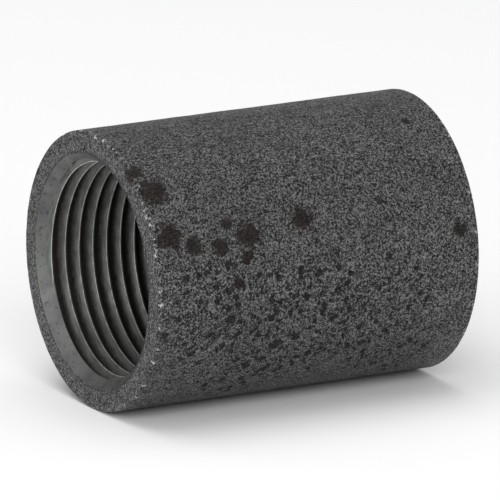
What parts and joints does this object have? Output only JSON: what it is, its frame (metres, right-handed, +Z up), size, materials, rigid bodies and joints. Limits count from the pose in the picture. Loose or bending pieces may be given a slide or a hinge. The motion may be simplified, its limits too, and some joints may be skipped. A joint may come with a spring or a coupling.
{
  "type": "reducing coupling",
  "caption": "Straight-sided steel reducing coupling, a plain round barrel with a large internal pipe thread at one end and a smaller one at the other.",
  "frame": {"origin": "on the barrel's axis, midway between the two end faces", "axes": "+X along the barrel's axis from the large end to the small end, +Z up with the coupling lying on its side"},
  "size_m": [0.0514, 0.04, 0.04],
  "materials": {
    "black_steel": "rough black mill scale with light rust, machined bores"
  },
  "bodies": {
    "root": {"coupling_body": "black_steel"}
  },
  "joints": []
}
